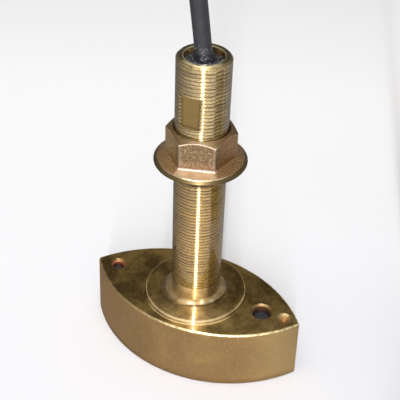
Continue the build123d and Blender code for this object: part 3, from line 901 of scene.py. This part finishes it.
# %% Finish of the holes
pour_hole, vent_hole, dimple = 41.4 * mm, -51.1 * mm, 55 * mm
drilled = 0.0
for hole, hole_reach in ((pour_hole, 6.6 * mm), (vent_hole, 4.9 * mm), (dimple, 4.9 * mm)):
    near = bronze.below(bronze.from_axis(hole), hole_reach - 0.5 * mm, hole_reach)
    drilled = bronze.maths("MAXIMUM", near, drilled)
deep, shallow = face_height - 1.4 * mm, face_height - 0.6 * mm
bronze.lay(times(drilled, between(bronze.z, deep, shallow, 0.0, 0.75)), (92, 70, 38))
copper = mix(between(bronze.x, -60 * mm, 60 * mm), (178, 110, 82), (146, 104, 62))
bronze.lay(times(drilled, between(bronze.z, deep, shallow, 0.85, 0.0)), copper)

# %% [markdown]
# On a faced surface the tool leaves fine ridges. Their slopes lean outwards by all angles, so somewhere in
# each of them lies a slope that shows the lamp, and together they make one thin white line across the rings.
# The base's anisotropy makes the wide soft streak, and a clear coat whose normal leans with the rings makes
# the line.

# %% Gloss and relief of the housing
polish = bronze.maths("MAXIMUM", top, upper_edge_highlight)
rough = bronze.maths("MULTIPLY_ADD", polish, -0.26, 0.54)
rough = bronze.maths("MULTIPLY_ADD", between(blotch, 0.35, 0.65), 0.08, rough)
rough = bronze.maths("MULTIPLY_ADD", times(pad_edge_highlight, top), 0.3, rough)
grains = bronze.maths("MULTIPLY_ADD", grit, 1.4, sand)
relief = bronze.bump(grains, 0.2 * mm, bronze.maths("MULTIPLY_ADD", top, -0.93, 0.95))
relief = bronze.bump(rings, 0.05 * mm, times(top, 0.8), Normal=relief)
lean = bronze.maths("DIVIDE", between(rings, 0.3, 0.7, 0.4, 2.0), radius)
ring_slope = bronze.xyz(times(bronze.x, lean), times(bronze.y, lean), 1.0)
bronze.turned(0.9)
bronze_material = bronze.done(
    Roughness=rough,
    Normal=relief,
    Anisotropic=times(top, bronze.maths("SUBTRACT", 1.0, pad_edge_highlight)),
    Coat_Normal=bronze.vector("NORMALIZE", ring_slope),
    Coat_Weight=times(top, front_wear_and_highlight, 0.5),
)
dress("housing", bronze_material)

# %% [markdown]
# Where the stem enters the housing it is brazed in, and the bead that went round by hand is uneven. It is
# the same grid of rings again, with a radius and a height that wander from angle to angle. The wide places
# are where the photograph shows them, and between them a ripple of many waves stands in for the lumps.

# %% The braze bead
bead_inner = 13.8 * mm
bead_base = 40.5 * mm
bead_angles = np.linspace(-np.pi, np.pi, 240, endpoint=False)
seen_angles = np.radians([-180, -169, -151, -122, -103, -84, -57, -32, -3, 22, 60, 120, 180])
seen_reach = np.array([19.2, 19.4, 20.6, 19.5, 19.0, 17.2, 16.6, 16.8, 17.1, 19.2, 18.0, 18.6, 19.2]) * mm
bead_reach = np.interp(bead_angles, seen_angles, seen_reach) + 0.22 * mm * ripple(bead_angles, 4, 24, 0.4)
bead_height = (2.5 + 0.4 * ripple(bead_angles, 9, 16, 0.5)) * mm
bead_rings = []
for share in np.linspace(0, 1, 14):
    swell = 0.12 * mm * ripple(bead_angles + share * 2, 12, 30, 0.3) * math.sin(math.pi * share)
    reach = bead_inner + (bead_reach - bead_inner) * np.cos(share * np.pi / 2) ** 1.25
    rise = bead_base + bead_height * np.sin(share * np.pi / 2) ** 1.5
    bead_rings.append(ring_of(bead_angles, reach + swell, rise + swell))
# Two last rings inside the stem's wall close the bead
for low in (42 * mm, 40.4 * mm):
    bead_rings.append(ring_of(bead_angles, 13.6 * mm, low))

braze = Finish("braze_metal", Metallic=1.0, Roughness=0.4, Coat_Weight=0.5, Coat_Roughness=0.15)
patches = braze.noise(210, 4, 0.6)
lumps = braze.noise(300, 3)
braze.colour = braze.mix(patches, (116, 92, 52), (160, 134, 92))
braze.lay(braze.between(lumps, 0.56, 0.7, 0.0, 0.5), (188, 182, 146))
braze.lay(braze.between(braze.from_axis(), 16.6 * mm, 18.6 * mm, 0.0, 0.85), (84, 64, 30))
braze_material = braze.done(
    Normal=braze.bump(lumps, 0.25 * mm, 0.4), Roughness=braze.between(patches, 0.3, 0.7, 0.34, 0.56),
)
bead_mesh = grid_mesh("braze_bead", np.stack(bead_rings))
add_piece("braze_bead", bead_mesh, braze_material, ["braze_fillet"])

# %% [markdown]
# Black resin fills the housing and the stem. In the mouth of the stem it has set with a wrinkled skin that
# has gone grey, and in the two holes it stands as a low dome and stays black. Smooth waves in the relief
# give the wet look, because each of them holds a reflection of its own.

# %% Finish of the resin
resin = Finish("black_resin", colour=(12, 12, 13), Roughness=0.2, Specular_IOR_Level=0.5)
dust = resin.noise(700, 3, 0.6)
in_mouth = resin.between(resin.z, 100 * mm, 150 * mm)
black = resin.mix(in_mouth, (13, 13, 16), (34, 36, 40))
skin = resin.mix(in_mouth, (38, 40, 47), (104, 106, 110))
resin.colour = resin.mix(resin.between(dust, 0.52, 0.7), black, skin)
resin_material = resin.done(
    Normal=resin.bump(resin.noise(220, 3, 0.5, warp=1.0), 0.9 * mm, 0.5),
    Roughness=resin.between(dust, 0.35, 0.7, 0.12, 0.3),
)

# %% [markdown]
# In the mouth, some of the resin was dragged up the cable. The piece is one grid: its first rings run from
# the stem's bore in to the cable, the next ones climb the cable and thin out to a ragged edge, and the last
# ones go down inside the cable and close it below. The cable leans a little, so the rings follow its middle.

# %% The resin in the mouth
mouth_reach = stem_bore + 0.05 * mm
collar_reach = 5.2 * mm
resin_level, collar_foot, smear_height = 186.8 * mm, 188.1 * mm, 196.2 * mm
mouth_angles = np.linspace(0, 2 * np.pi, 144, endpoint=False)
first_points = np.array(arch_points[:3]) * mm


def cable_centre(z):
    """Where the cable's middle is at a height near the stem's mouth."""
    start, bend, after = first_points
    share = max(0.0, z - start[2]) / (2 * (bend[2] - start[2]))
    return (2 * share * (1 - share) * bend + share**2 * (bend + after) / 2)[:2]


mouth_rings = []
smear_top = smear_height + 1.9 * mm * ripple(mouth_angles, 21, 9, 0.7)
for share in np.linspace(0, 1, 40):
    if share < 0.5:
        s = share / 0.5
        wrinkles = 0.35 * ripple(mouth_angles + 3 * s, 31, 20, 0.2)
        reach = mouth_reach + (collar_reach - mouth_reach) * s
        rise = resin_level + (wrinkles + 1.3 * s**3) * mm * min(1, 4 * s + 0.2)
    else:
        s = (share - 0.5) / 0.5
        start = collar_foot + 0.35 * mm * ripple(mouth_angles + 3, 31, 20, 0.2)
        rise = start + (smear_top - start) * s
        uneven = 0.1 * ripple(mouth_angles + 5 * s, 37, 18, 0.3)
        thick = (0.85 * (1 - s) ** 1.5 + (0.2 + uneven) * (1 - s)) * mm
        reach = 4.33 * mm + np.maximum(thick, 0.02 * mm)
    centres = np.array([cable_centre(z) for z in rise])
    mouth_rings.append(ring_of(mouth_angles, reach, rise, *centres.T))
for reach, rise in ((4.1 * mm, 194 * mm), (4.1 * mm, 185.6 * mm), (mouth_reach, 185.6 * mm)):
    mouth_rings.append(ring_of(mouth_angles, reach, rise, *cable_centre(rise)))
mouth_mesh = grid_mesh("mouth_resin", np.stack(mouth_rings))
add_piece("mouth_resin", mouth_mesh, resin_material, ["mouth_seal"])

# %% [markdown]
# The domes in the two holes are the same kind of grid, open at its two ends, which a flat face closes: a
# wide one hidden below, and a tiny one on top.

# %% The resin in the holes
def dome(x, reach, top, rise, seed):
    """A low uneven dome of resin in a round hole."""
    angles = np.linspace(0, 2 * np.pi, 64, endpoint=False)
    rings = [ring_of(angles, reach, top - rise - 1 * mm, x)]
    for share in np.linspace(0, 1, 14)[:-1]:
        sine, cosine = math.sin(share * math.pi / 2), math.cos(share * math.pi / 2)
        uneven = 1 + 0.04 * math.sin(math.pi * share) * ripple(angles + share, seed)
        wave = 0.12 * mm * ripple(angles + 2 * share, seed + 1) * cosine
        rings.append(ring_of(angles, reach * cosine**0.8 * uneven, top + rise * (sine - 0.6) + wave, x))
    rings.append(ring_of(angles, 0.2 * mm, top + rise * 0.4, x))
    return grid_mesh("dome", np.stack(rings), closed_profile=False)


add_piece("pour_hole_resin", dome(pour_hole, 5.38 * mm, 35.0 * mm, 1.6 * mm, 51), resin_material)
add_piece("vent_hole_resin", dome(vent_hole, 3.38 * mm, 34.9 * mm, 0.9 * mm, 61), resin_material)

# %% [markdown]
# The cable's jacket is satin rubber: dark grey, a little lighter where it has been handled, with the faint
# grain of the extruder.

# %% Finish of the cable
jacket = Finish("cable_jacket", colour=(24, 24, 26), Roughness=0.38, Specular_IOR_Level=0.5)
rubbed_and_highlit = jacket.noise(90, 4, 0.6)
jacket.colour = jacket.mix(jacket.between(rubbed_and_highlit, 0.35, 0.7), (15, 15, 17), (32, 32, 35))
jacket.lay(jacket.between(jacket.noise(1800, 2), 0.62, 0.75), (70, 70, 72))
jacket_material = jacket.done(
    Normal=jacket.bump(jacket.noise(1500, 3, 0.6), 0.04 * mm, 0.6),
    Roughness=jacket.between(rubbed_and_highlit, 0.3, 0.7, 0.36, 0.52),
)
cable_curve.materials.append(jacket_material)
dress("cable_in_stem", jacket_material)

# %% [markdown]
# Three straps hold the coil. Each is a woven band that is pulled tight round the turns, so it dips a little
# between them, and its free end lies over itself on top and is held there by its hooks. A band is a loop of
# points with a flat section swept along it, and it gets a UV map so that its weave follows it round.

# %% The straps' path
strap_width = 9 * mm
strap_thick = 1.2 * mm
strap_dip = 0.3 * mm
steps_per_gap = 6
bend = 0.5 * cable_diameter
bend_inner, bend_outer = outer_turn - 2 * cable_diameter, outer_turn
bend_low, bend_high = lowest_turn, lowest_turn + (turns_per_column - 1) * cable_diameter


def out_of(degrees):
    """A direction in the plane of the coil's section."""
    return np.array([math.cos(math.radians(degrees)), math.sin(math.radians(degrees))])


def strap_loop():
    """Points round the coil's section, as distance from its axis and height, and directions outwards."""
    points, outwards = [], []
    runs = (
        (bend_outer, bend_low, -90, turns_per_column - 1), (bend_outer, bend_high, 0, 2),
        (bend_inner, bend_high, 90, turns_per_column - 1), (bend_inner, bend_low, 180, 2),
    )
    for reach, height, first, gaps in runs:
        for degrees in np.linspace(first, first + 90, 8):
            points.append(np.array([reach, height]) + out_of(degrees) * (bend + strap_thick / 2))
            outwards.append(out_of(degrees))
        start, out, along = points[-1], outwards[-1], out_of(first + 180)
        for step in range(1, gaps * steps_per_gap):
            dip = strap_dip * math.sin(math.pi * step / steps_per_gap) ** 2
            points.append(start + along * cable_diameter * step / steps_per_gap - out * dip)
            outwards.append(out)
    return np.array(points), np.array(outwards)


loop_points, loop_outwards = strap_loop()
print("points round a strap", len(loop_points))

# %% [markdown]
# A curve with a bevel could sweep the section too. Doing it point by point keeps the flat side against the
# coil all the way round, and narrows the free end to a rounded tip. The weave is a product of two waves, one
# along the band and one across it, and the UV map says how far along and across each point lies.

# %% The straps
strap_section = [(-1, -0.5), (-0.9, -1), (-0.45, -1), (0, -1), (0.45, -1), (0.9, -1), (1, -0.5)]
strap_section += [(-w, -t) for w, t in strap_section]
strap_section = np.array(strap_section) * (strap_width / 2, strap_thick / 2)


def band(points, outwards, turn, lift=0.0, widths=None):
    """Rings of the strap's section along a path, in the upright plane at an angle round the coil."""
    upright = np.array([0, 0, 1])
    radial = np.array([math.cos(turn), math.sin(turn), 0])
    side = np.array([-math.sin(turn), math.cos(turn), 0])
    rings = []
    for point, out, width in zip(points, outwards, np.ones(len(points)) if widths is None else widths):
        far, high = point + out * lift
        middle = np.array([coil_x, 0, 0]) + radial * far + upright * high
        outward = radial * out[0] + upright * out[1]
        rings.append([middle + side * w * width + outward * t for w, t in strap_section])
    return np.array(rings)


def lay_weave(mesh, wrap):
    """A UV map in metres along and across a band made by grid_mesh. Its last faces run on past the seam."""
    layer = mesh.uv_layers.new(name="weave")
    around = len(strap_section)
    count = len(mesh.vertices) // around
    for face in mesh.polygons:
        ring, step = divmod(face.index, around)
        for loop in face.loop_indices:
            row, place = divmod(mesh.loops[loop].vertex_index, around)
            row = count if wrap and row == 0 and ring == count - 1 else row
            place = around if place == 0 and step == around - 1 else place
            layer.data[loop].uv = (row * 1.4 * mm, place * 1.8 * mm)


work = bmesh.new()
top_run = np.where(loop_outwards[:, 1] > 0.6)[0]
tip = np.clip(np.linspace(0, 1, len(top_run)) - 0.8, 0, 1) / 0.2
tip_widths = np.sqrt(np.clip(1 - tip**2.2, 0.02, 1))
for turn in (-math.pi / 2, 0.0, math.pi / 2):
    whole_band = grid_mesh("strap", band(loop_points, loop_outwards, turn))
    lay_weave(whole_band, True)
    end_rings = band(loop_points[top_run], loop_outwards[top_run], turn, 1.15 * mm, tip_widths)
    end_band = grid_mesh("strap_end", end_rings, closed_profile=False)
    lay_weave(end_band, False)
    work.from_mesh(whole_band)
    work.from_mesh(end_band)
strap_mesh = bpy.data.meshes.new("coil_straps")
work.to_mesh(strap_mesh)
work.free()

weave = Finish("woven_strap", colour=(30, 30, 33), Roughness=0.85, Sheen_Weight=0.4, Sheen_Roughness=0.5)
weave_place = weave.get("ShaderNodeUVMap", uv_map="weave")
lengthwise, crosswise, _ = weave.add("ShaderNodeSeparateXYZ", {0: weave_place}).outputs
warp = weave.maths("SINE", weave.times(lengthwise, 2 * math.pi / (0.9 * mm)))
weft = weave.maths("SINE", weave.times(crosswise, 2 * math.pi / (0.7 * mm)))
threads = weave.maths("MULTIPLY_ADD", weave.times(warp, weft), 0.5, 0.5)
fuzz = weave.noise(2200, 3, 0.7)
weave.colour = weave.mix(threads, (22, 22, 25), (62, 62, 68))
weave.lay(weave.between(fuzz, 0.5, 0.75, 0.0, 0.6), (96, 96, 102))
cloth = weave.maths("MULTIPLY_ADD", fuzz, 0.8, threads)
weave_material = weave.done(Normal=weave.bump(cloth, 0.18 * mm, 0.9))
straps = add_piece("coil_straps", strap_mesh, weave_material, ["coil_ties"])

# %% [markdown]
# The plug at the cable's end is moulded: a ribbed boot that keeps the cable from kinking, a shell, and a
# loose coupling ring with a thread inside. All are turned about the plug's own axis, which lies along x, and
# their profiles are written in millimetres from the plug's start.

# %% The plug's profiles
plug_start = np.array([186, 50, 90.2]) * mm


def ribbed(x):
    """The boot's radius along its tapered part, with grooves between its ribs."""
    groove = max(0.0, math.sin(2 * math.pi * (x - 1.6) / 2.8)) ** 0.6 if 1.6 < x < 18.4 else 0.0
    return 5.4 + 1.8 * min(x, 20) / 20 - 0.65 * groove


def on_plug(profile, closed_profile=True):
    """A mesh turned about the plug's axis."""
    return grid_mesh("turned", lathe(np.array(profile) * mm, 96, "x", plug_start), closed_profile)


boot_profile = [(0.02, 16), (4.32, 16), (4.32, 0.6), (4.6, 0.1), (5.1, 0.0)]
boot_profile += [(ribbed(x), x) for x in np.arange(0.3, 20.0, 0.2)]
boot_profile += [(7.2, 20.0), (7.2, 31.9), (0.02, 31.9)]
shell_corners = [
    (7.2, 20), (8.9, 20), (9.2, 21.5), (9.2, 23.4), (8.7, 23.8), (8.7, 26.2), (9.2, 26.6),
    (9.2, 38), (10, 38), (10, 40), (9.2, 40), (9.2, 48), (7.2, 48),
]
shell_profile = rounded(shell_corners, [0.2, 0.6, 0.5, 0.2, 0.2, 0.2, 0.2, 0.1, 0.3, 0.3, 0.1, 0.3, 0.2])
ring_corners = [
    (9.5, 35.5), (10.9, 35.5), (11.3, 36.4), (11.3, 55.6), (11.0, 56.5), (10.7, 56.5), (10.3, 55.9),
]
ring_profile = rounded(ring_corners, [0.2, 0.4, 0.3, 0.3, 0.2, 0.1, 0.2])
inner_thread = [(10.3 - 0.3 * abs(math.sin(math.pi * x / 1.5)), x) for x in np.arange(54.9, 42.0, -0.15)]
ring_profile = np.concatenate([ring_profile, inner_thread, [(10.3, 41.5), (10.3, 38), (9.5, 38)]])
print("points in the ring's profile", len(ring_profile))

# %% [markdown]
# The grip ribs repeat round the coupling ring, so Geometry Nodes place them: a line of points is bent into a
# circle, each point gets a stretched ball, and the balls sink into the ring until only soft ribs stand out.

# %% The grip ribs
def grip_ribs():
    """The node tree that sets soft ribs round a ring that lies along x."""
    graph, given = open_tree("grip_ribs", {
        "Count": 30, "Ring Radius": 11.25 * mm, "Length": 16 * mm, "Width": 1.1 * mm, "Height": 0.7 * mm,
        "Middle": tuple(plug_start + np.array([46 * mm, 0, 0])),
    })
    line = graph.get("GeometryNodeMeshLine", {"Count": given["Count"]})
    index = graph.get("GeometryNodeInputIndex")
    angle = graph.times(graph.maths("DIVIDE", index, given["Count"]), 2 * math.pi)
    across = graph.times(graph.maths("COSINE", angle), given["Ring Radius"])
    up = graph.times(graph.maths("SINE", angle), given["Ring Radius"])
    spot = graph.vector("ADD", given["Middle"], graph.xyz(0.0, across, up))
    spots = graph.get("GeometryNodeSetPosition", {"Geometry": line, "Position": spot})
    ball = graph.get("GeometryNodeMeshUVSphere", {"Segments": 12, "Rings": 10, "Radius": 0.5})
    size = graph.xyz(given["Length"], given["Width"], given["Height"])
    rib = graph.get("GeometryNodeTransform", {"Geometry": ball, "Scale": size})
    smooth = graph.get("GeometryNodeSetShadeSmooth", {"Geometry": rib, "Shade Smooth": True})
    lean = graph.xyz(graph.maths("SUBTRACT", angle, math.pi / 2), 0.0, 0.0)
    inputs = {"Points": spots, "Instance": smooth, "Rotation": lean}
    ribs = graph.get("GeometryNodeInstanceOnPoints", inputs)
    both = graph.add("GeometryNodeJoinGeometry")
    for part in (ribs, given["Geometry"]):
        graph.plug(both.inputs[0], part)
    return close_tree(graph, both.outputs[0], given["Finish"])


rib_maker = grip_ribs()

# %% [markdown]
# The boot is soft rubber with a dull bloom, and the shell and the ring are a harder plastic with scuffs. The
# noise that lightens the colour also roughens the gloss there, as wear does.

# %% The plug
rubber = Finish("boot_rubber", colour=(34, 34, 36), Roughness=0.6)
bloom = rubber.noise(160, 4, 0.6)
rubber.colour = rubber.mix(rubber.between(bloom, 0.3, 0.7), (28, 28, 30), (52, 52, 54))
rubber_material = rubber.done(
    Normal=rubber.bump(rubber.noise(1700, 3, 0.6), 0.05 * mm, 0.6),
    Roughness=rubber.between(bloom, 0.3, 0.7, 0.5, 0.68),
)
plastic = Finish("moulded_plastic", colour=(28, 29, 32), Roughness=0.4)
scuffs = plastic.noise(240, 4, 0.65)
plastic.colour = plastic.mix(plastic.between(scuffs, 0.4, 0.7), (24, 25, 28), (50, 51, 55))
plastic_material = plastic.done(
    Normal=plastic.bump(plastic.noise(2400, 2, 0.5), 0.04 * mm, 0.5),
    Roughness=plastic.between(scuffs, 0.35, 0.7, 0.34, 0.55),
)
boot_mesh = on_plug(boot_profile, closed_profile=False)
add_piece("ribbed_boot", boot_mesh, rubber_material, ["connector_boot"])
add_piece("plug_shell", on_plug(shell_profile), plastic_material, ["connector_body"])
ring_mesh = run_nodes("coupling_ring", on_plug(ring_profile), rib_maker, plastic_material)
add_piece("coupling_ring", ring_mesh, plastic_material, ["connector_ring"])

# %% [markdown]
# The nodes below keep their CAD shape. The pins and the insert show in the plug's mouth and the window shows
# from below. The others are sealed in the resin, and still get the finish that they would have on a bench.
# Most are one plain material in two near tones, so one function and a table make them.

# %% Finishes of the plain nodes
def plain(name, low, high, scale, depth, roughness, metallic=0.0):
    """A finish of two tones in patches with a fine relief."""
    finish = Finish(name, colour=low, Roughness=roughness, Metallic=metallic)
    spots = finish.noise(scale, 4, 0.6)
    finish.colour = finish.mix(finish.between(spots, 0.35, 0.65), low, high)
    return finish.done(
        Normal=finish.bump(finish.noise(scale * 6, 3, 0.6), depth * mm, 0.7),
        Roughness=finish.between(spots, 0.3, 0.7, roughness - 0.06, roughness + 0.06),
    )


for node, *values in (
    ("connector_pins", "plated_pin", (206, 168, 92), (226, 192, 120), 300, 0.02, 0.28, 1.0),
    ("connector_insert", "insert_plastic", (92, 90, 86), (116, 113, 108), 220, 0.04, 0.5),
    ("connector_washer", "washer_rubber", (58, 34, 28), (82, 48, 38), 400, 0.05, 0.7),
    ("acoustic_window", "window_urethane", (34, 36, 38), (52, 54, 56), 90, 0.06, 0.45),
    ("ceramic_disc", "silvered_ceramic", (172, 172, 168), (200, 200, 196), 160, 0.04, 0.5, 0.6),
    ("transformer_core", "ferrite", (52, 52, 54), (70, 70, 72), 500, 0.05, 0.7),
    ("cable_lead", "black_lead", (36, 36, 38), (54, 54, 56), 400, 0.03, 0.5),
    ("element_lead", "red_lead", (134, 36, 30), (160, 50, 42), 400, 0.03, 0.5),
    ("return_lead", "white_lead", (190, 188, 180), (208, 206, 198), 400, 0.03, 0.5),
):
    dress(node, plain(*values))
dress("cavity_potting", resin_material)

# %% [markdown]
# Two have a structure. Cork rubber is cork grains in a binder, and a Voronoi texture gives each grain a tone
# and a height of its own. The winding is one wire laid turn by turn, so a sine wave along it makes the turns.

# %% Finishes of the cork and the winding
cork = Finish("cork_rubber", colour=(120, 86, 54), Roughness=0.9)
cells = cork.add("ShaderNodeTexVoronoi", {"Vector": cork.place, "Scale": 700.0}).outputs["Color"]
grain = cork.get("ShaderNodeSeparateColor", {0: cells})
cork.colour = cork.mix(grain, (84, 56, 34), (156, 116, 74))
cork_material = cork.done(
    Normal=cork.bump(grain, 0.15 * mm, 0.8), Roughness=cork.between(grain, 0.2, 0.8, 0.82, 0.95),
)
dress("isolation_ring", cork_material)
dress("backing_disc", cork_material)

copper = Finish("enamelled_copper", Metallic=1.0, Roughness=0.32)
copper.colour = copper.mix(copper.noise(300, 3), (150, 82, 42), (186, 108, 60))
wires = copper.maths("SINE", copper.times(copper.x, 2 * math.pi / (0.5 * mm)))
copper_material = copper.done(
    Normal=copper.bump(wires, 0.12 * mm, 0.9),
    Roughness=copper.between(copper.noise(500, 2), 0.3, 0.7, 0.28, 0.42),
)
dress("transformer_winding", copper_material)

# %% [markdown]

print("the cable comes with its straps and its plug")
